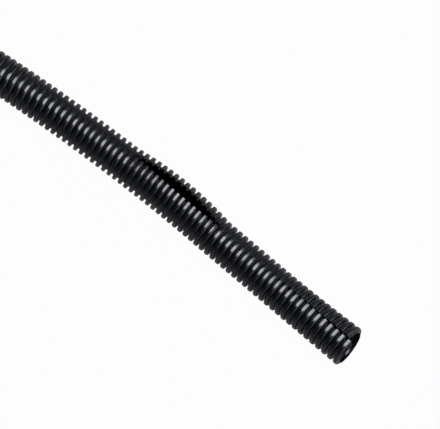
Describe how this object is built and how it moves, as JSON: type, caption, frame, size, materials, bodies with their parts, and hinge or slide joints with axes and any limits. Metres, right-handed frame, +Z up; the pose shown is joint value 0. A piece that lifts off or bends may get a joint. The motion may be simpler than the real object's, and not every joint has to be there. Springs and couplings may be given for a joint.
{
  "type": "split corrugated conduit",
  "caption": "Half-metre length of black corrugated plastic conduit, slit along its length so that cables can be laid in, or led out where its lips part.",
  "frame": {"origin": "middle of the first rib at the mouth, on the tube's axis", "axes": "+X out of the mouth along the straight stretch behind it, +Z up, and the slack bend goes to -Y"},
  "size_m": [0.4995, 0.035, 0.0231],
  "materials": {
    "black_polypropylene": "blow-moulded black polypropylene, satin to glossy on the rib crests"
  },
  "bodies": {
    "root": {"conduit": "black_polypropylene"}
  },
  "joints": []
}
